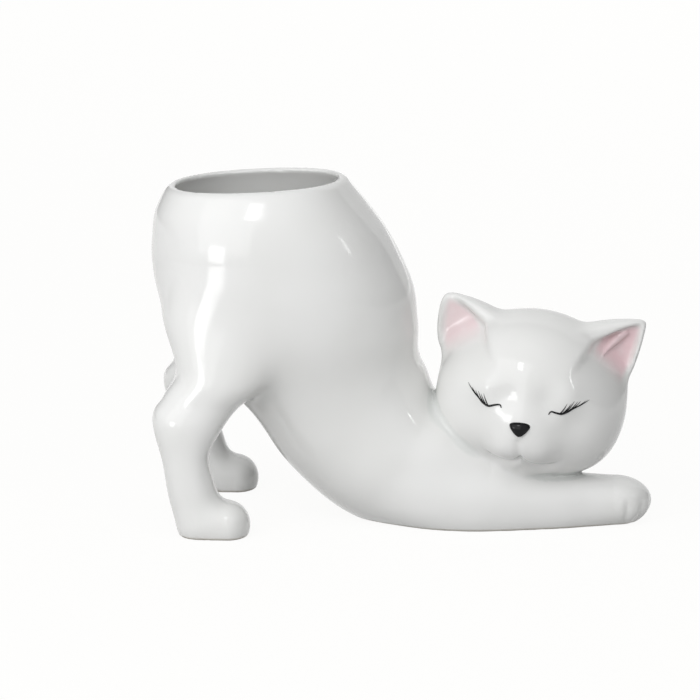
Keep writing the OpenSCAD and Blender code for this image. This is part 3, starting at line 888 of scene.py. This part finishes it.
def makeLashes(name, side, tree, sidesKey, loadKey, material):
    points, halves, edges = [], [], []
    for stroke, half in lashStrokes(side):
        first = len(points)
        points += (stroke * mm).tolist()
        halves += (half * mm).tolist()
        edges += [(first + i, first + i + 1) for i in range(len(stroke) - 1)]
    mesh = bpy.data.meshes.new(name + "Path")
    mesh.from_pydata(points, edges, [])
    addAttribute(mesh, "half", np.array(halves))
    path = addObject(name + "Path", mesh)
    nodes = path.modifiers.new("strokes", "NODES")
    nodes.node_group = tree
    nodes[sidesKey] = lashes["sides"]
    nodes[loadKey] = lashes["brushLoad"]
    depsgraph = bpy.context.evaluated_depsgraph_get()
    swept = bpy.data.meshes.new_from_object(path.evaluated_get(depsgraph))
    bpy.data.objects.remove(path)
    swept.name = name
    swept.polygons.foreach_set("use_smooth", [True] * len(swept.polygons))
    if not swept.materials:
        swept.materials.append(material)
    return addObject(name, swept)


# Glazes, with sizes and depths in metres
noiseSpan = (0.3, 0.7)              # where most of a noise's values lie
porcelain = {
    "white": (0.80, 0.80, 0.785), "clear": (0.835, 0.835, 0.825), "pooled": (0.70, 0.715, 0.70),
    "bisque": (0.70, 0.67, 0.61), "pink": (0.80, 0.60, 0.625),
    "rough": (0.07, 0.13), "roughSize": 0.012, "bareRough": 0.85, "toneSize": 0.035,
    "waveSize": 0.006, "waveDepth": 0.00006, "grainSize": 0.0006, "grainDepth": 0.000006,
    "cloudSize": 0.004, "soleFrom": 0.0004, "soleTo": 0.0011,
    # from and to, and the shares that these give
    "poolShown": (0.35, 1.0, 0.0, 0.8),
    "sprayShown": (0.05, 0.95, 0.0, 1.0), "cloudShown": (0.25, 0.6, 0.82, 1.0),
}
enamel = {
    "deep": (0.004, 0.004, 0.005), "thin": (0.010, 0.010, 0.011), "toneSize": 0.0009,
    "specular": 0.18, "rough": (0.03, 0.08), "grainDepth": 0.00001,
}


def newMaterial(name):
    material = bpy.data.materials.new(name)
    material.use_nodes = True
    nodes, link = material.node_tree.nodes, material.node_tree.links.new
    return material, nodes, link, nodes["Principled BSDF"]


def noiseOf(nodes, link, coordinates, size, detail=2.0):
    noise = nodes.new("ShaderNodeTexNoise")
    noise.inputs["Scale"].default_value = 1 / size
    noise.inputs["Detail"].default_value = detail
    link(coordinates, noise.inputs["Vector"])
    return noise.outputs["Fac"]


def rangeOf(nodes, link, value, fromMin, fromMax, toMin, toMax):
    step = nodes.new("ShaderNodeMapRange")
    step.interpolation_type = "SMOOTHSTEP"
    for key, number in (("From Min", fromMin), ("From Max", fromMax), ("To Min", toMin), ("To Max", toMax)):
        step.inputs[key].default_value = number
    link(value, step.inputs["Value"])
    return step.outputs["Result"]


def mixOf(nodes, link, share, a, b):
    mix = nodes.new("ShaderNodeMix")
    mix.data_type = "RGBA"
    link(share, mix.inputs["Factor"])
    for socket, colour in ((mix.inputs["A"], a), (mix.inputs["B"], b)):
        if isinstance(colour, tuple):
            socket.default_value = (*colour, 1)
        else:
            link(colour, socket)
    return mix.outputs["Result"]


def glazeBump(nodes, link, coordinates, shader):
    # slow waves in the glass over a faint grain
    waves = noiseOf(nodes, link, coordinates, porcelain["waveSize"], 1.0)
    grain = noiseOf(nodes, link, coordinates, porcelain["grainSize"], 1.0)
    before = None
    for height, depth in ((waves, porcelain["waveDepth"]), (grain, porcelain["grainDepth"])):
        bumpNode = nodes.new("ShaderNodeBump")
        bumpNode.inputs["Strength"].default_value = 1.0
        bumpNode.inputs["Distance"].default_value = depth
        link(height, bumpNode.inputs["Height"])
        if before:
            link(before, bumpNode.inputs["Normal"])
        before = bumpNode.outputs["Normal"]
    link(before, shader.inputs["Normal"])


def whiteGlazeColour(nodes, link, coordinates):
    tone = noiseOf(nodes, link, coordinates, porcelain["toneSize"])
    tone = rangeOf(nodes, link, tone, *noiseSpan, 0.0, 1.0)
    return mixOf(nodes, link, tone, porcelain["white"], porcelain["clear"])


def glazeRoughness(nodes, link, coordinates):
    cloud = noiseOf(nodes, link, coordinates, porcelain["roughSize"])
    return rangeOf(nodes, link, cloud, *noiseSpan, *porcelain["rough"])


def attributeOf(nodes, name):
    node = nodes.new("ShaderNodeAttribute")
    node.attribute_name = name
    return node.outputs["Fac"]


def makeWhiteGlaze():
    material, nodes, link, shader = newMaterial("whiteGlaze")
    coordinates = nodes.new("ShaderNodeTexCoord").outputs["Object"]
    colour = whiteGlazeColour(nodes, link, coordinates)
    pool = rangeOf(nodes, link, attributeOf(nodes, "pool"), *porcelain["poolShown"])
    colour = mixOf(nodes, link, pool, colour, porcelain["pooled"])
    # the soles are wiped bare of glaze
    split = nodes.new("ShaderNodeSeparateXYZ")
    link(coordinates, split.inputs["Vector"])
    bare = rangeOf(nodes, link, split.outputs["Z"], porcelain["soleFrom"], porcelain["soleTo"], 1.0, 0.0)
    link(mixOf(nodes, link, bare, colour, porcelain["bisque"]), shader.inputs["Base Color"])
    rough = nodes.new("ShaderNodeMath")
    rough.operation = "MAXIMUM"
    link(glazeRoughness(nodes, link, coordinates), rough.inputs[0])
    link(rangeOf(nodes, link, bare, 0.0, 1.0, 0.0, porcelain["bareRough"]), rough.inputs[1])
    link(rough.outputs["Value"], shader.inputs["Roughness"])
    glazeBump(nodes, link, coordinates, shader)
    return material


def makePinkGlaze():
    material, nodes, link, shader = newMaterial("pinkGlaze")
    coordinates = nodes.new("ShaderNodeTexCoord").outputs["Object"]
    white = whiteGlazeColour(nodes, link, coordinates)
    cloud = noiseOf(nodes, link, coordinates, porcelain["cloudSize"], 3.0)
    sprayed = nodes.new("ShaderNodeMath")
    sprayed.operation = "MULTIPLY"
    link(rangeOf(nodes, link, attributeOf(nodes, "blush"), *porcelain["sprayShown"]), sprayed.inputs[0])
    link(rangeOf(nodes, link, cloud, *porcelain["cloudShown"]), sprayed.inputs[1])
    link(mixOf(nodes, link, sprayed.outputs["Value"], white, porcelain["pink"]), shader.inputs["Base Color"])
    link(glazeRoughness(nodes, link, coordinates), shader.inputs["Roughness"])
    glazeBump(nodes, link, coordinates, shader)
    return material


def makeBlackEnamel():
    material, nodes, link, shader = newMaterial("blackEnamel")
    coordinates = nodes.new("ShaderNodeTexCoord").outputs["Object"]
    tone = noiseOf(nodes, link, coordinates, enamel["toneSize"], 3.0)
    shader.inputs["Specular IOR Level"].default_value = enamel["specular"]
    link(mixOf(nodes, link, tone, enamel["deep"], enamel["thin"]), shader.inputs["Base Color"])
    link(rangeOf(nodes, link, tone, *noiseSpan, *enamel["rough"]), shader.inputs["Roughness"])
    bumpNode = nodes.new("ShaderNodeBump")
    bumpNode.inputs["Distance"].default_value = enamel["grainDepth"]
    link(tone, bumpNode.inputs["Height"])
    link(bumpNode.outputs["Normal"], shader.inputs["Normal"])
    return material


whiteGlaze, pinkGlaze, blackEnamel = makeWhiteGlaze(), makePinkGlaze(), makeBlackEnamel()

cat, catPoints, catNormals = makeSkin()
cat.data.materials.append(whiteGlaze)
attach(cat, "root")
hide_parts("pot_body", "hind_leg_right", "hind_leg_left", "foreleg_right", "foreleg_left",
            "head", "ear_right", "ear_left")
print("skin made")

for side, name, node in ((-1, "earBlushRight", "ear_lining_right"), (1, "earBlushLeft", "ear_lining_left")):
    lining = makeBlush(name, cat, catPoints, catNormals, side)
    lining.data.materials.append(pinkGlaze)
    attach(lining, "root")
    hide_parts(node)
print("ears blushed")

noseTip = makeNose()
noseTip.data.materials.append(blackEnamel)
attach(noseTip, "root")
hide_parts("nose")
strokeTree, sidesKey, loadKey = brushTree(blackEnamel)
for side, name, node in ((-1, "lashesRight", "lash_right"), (1, "lashesLeft", "lash_left")):
    lash = makeLashes(name, side, strokeTree, sidesKey, loadKey, blackEnamel)
    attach(lash, "root")
    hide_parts(node)
print("face painted")


# Studio, in metres
studio = {
    "floorHalf": 4.0,
    "paper": (0.42, 0.42, 0.416), "paperRough": 0.9, "fibreSize": 0.05, "fibreDark": 0.985,
    # what the camera and the glaze see of the paper, and the share of real shading left in it
    "shownColour": (1.0, 0.998, 0.99), "paperShown": 1.09, "shadowShare": 0.14,
    # a light tent: brightest towards the front left, dim behind and to the right
    "tentTowards": (-0.38, -0.84, 0.38), "tentFrom": -0.3, "tentTo": 0.85,
    "tentBright": (0.93, 0.935, 0.94), "tentDim": (0.15, 0.15, 0.147),
    # name: where it aims, direction from there, how far off, width and height, watts
    "lamps": {
        "window": ((-0.052, -0.03, 0.074), (-0.545, -0.83, 0.125), 0.36, (0.10, 0.092), 0.14),
        "upperFront": ((0.034, -0.028, 0.052), (-0.235, -0.67, 0.704), 0.5, (0.05, 0.105), 0.14),
        "softbox": ((0.0, 0.0, 0.05), (-0.46, -0.72, 0.52), 1.2, (1.0, 1.0), 3.6),
        "behind": ((0.0, 0.0, 0.05), (0.25, 0.85, 0.46), 1.3, (1.6, 1.6), 5.5),
        "rightStrip": ((0.0, 0.0, 0.05), (0.79, -0.375, 0.486), 0.9, (0.03, 0.14), 0.12),
    },
}


def seenDirectly(nodes, link):
    # 1 for what the camera sees straight, mirrored or through glass
    path = nodes.new("ShaderNodeLightPath")
    total = path.outputs["Is Camera Ray"]
    for key in ("Is Glossy Ray", "Is Transmission Ray"):
        most = nodes.new("ShaderNodeMath")
        most.operation = "MAXIMUM"
        link(total, most.inputs[0])
        link(path.outputs[key], most.inputs[1])
        total = most.outputs["Value"]
    return total


def makePaper():
    material, nodes, link, shader = newMaterial("paper")
    shader.inputs["Roughness"].default_value = studio["paperRough"]
    coordinates = nodes.new("ShaderNodeTexCoord").outputs["Object"]
    fibre = noiseOf(nodes, link, coordinates, studio["fibreSize"], 3.0)
    dark = tuple(c * studio["fibreDark"] for c in studio["paper"])
    link(mixOf(nodes, link, fibre, dark, studio["paper"]), shader.inputs["Base Color"])
    glow = nodes.new("ShaderNodeEmission")
    glow.inputs["Color"].default_value = (*studio["shownColour"], 1)
    glow.inputs["Strength"].default_value = studio["paperShown"]
    share = nodes.new("ShaderNodeMath")
    share.operation = "MULTIPLY"
    link(seenDirectly(nodes, link), share.inputs[0])
    share.inputs[1].default_value = 1 - studio["shadowShare"]
    mix = nodes.new("ShaderNodeMixShader")
    link(share.outputs["Value"], mix.inputs["Fac"])
    link(shader.outputs["BSDF"], mix.inputs[1])
    link(glow.outputs["Emission"], mix.inputs[2])
    link(mix.outputs["Shader"], nodes["Material Output"].inputs["Surface"])
    return material


def lamp(name, aim, direction, far, size, power):
    light = bpy.data.lights.new(name, "AREA")
    light.shape = "RECTANGLE"
    light.size, light.size_y = size
    light.energy = power
    lampObject = addObject(name, light)
    lampObject.location = Vector(aim) + Vector(direction).normalized() * far
    lampObject.rotation_euler = (-Vector(direction)).to_track_quat("-Z", "Y").to_euler()


def makeWorld():
    world = bpy.data.worlds.new("studio")
    bpy.context.scene.world = world
    world.use_nodes = True
    nodes, link = world.node_tree.nodes, world.node_tree.links.new
    soft = nodes["Background"]
    towards = nodes.new("ShaderNodeVectorMath")
    towards.operation = "DOT_PRODUCT"
    link(nodes.new("ShaderNodeTexCoord").outputs["Generated"], towards.inputs[0])
    towards.inputs[1].default_value = Vector(studio["tentTowards"]).normalized()
    share = rangeOf(nodes, link, towards.outputs["Value"], studio["tentFrom"], studio["tentTo"], 0.0, 1.0)
    link(mixOf(nodes, link, share, studio["tentDim"], studio["tentBright"]), soft.inputs["Color"])
    soft.inputs["Strength"].default_value = 1.0
    shown = nodes.new("ShaderNodeBackground")
    shown.inputs["Color"].default_value = (*studio["shownColour"], 1)
    shown.inputs["Strength"].default_value = studio["paperShown"]
    mix = nodes.new("ShaderNodeMixShader")
    link(nodes.new("ShaderNodeLightPath").outputs["Is Camera Ray"], mix.inputs["Fac"])
    link(soft.outputs["Background"], mix.inputs[1])
    link(shown.outputs["Background"], mix.inputs[2])
    link(mix.outputs["Shader"], nodes["World Output"].inputs["Surface"])


def makeStudio():
    makeWorld()
    mesh = bpy.data.meshes.new("floor")
    h = studio["floorHalf"]
    mesh.from_pydata([(-h, -h, 0), (h, -h, 0), (h, h, 0), (-h, h, 0)], [], [(0, 1, 2, 3)])
    floor = addObject("floor", mesh)
    floor.data.materials.append(makePaper())
    for name, settings in studio["lamps"].items():
        lamp(name, *settings)


makeStudio()
bpy.context.scene.view_settings.view_transform = "Standard"
print("studio lit")
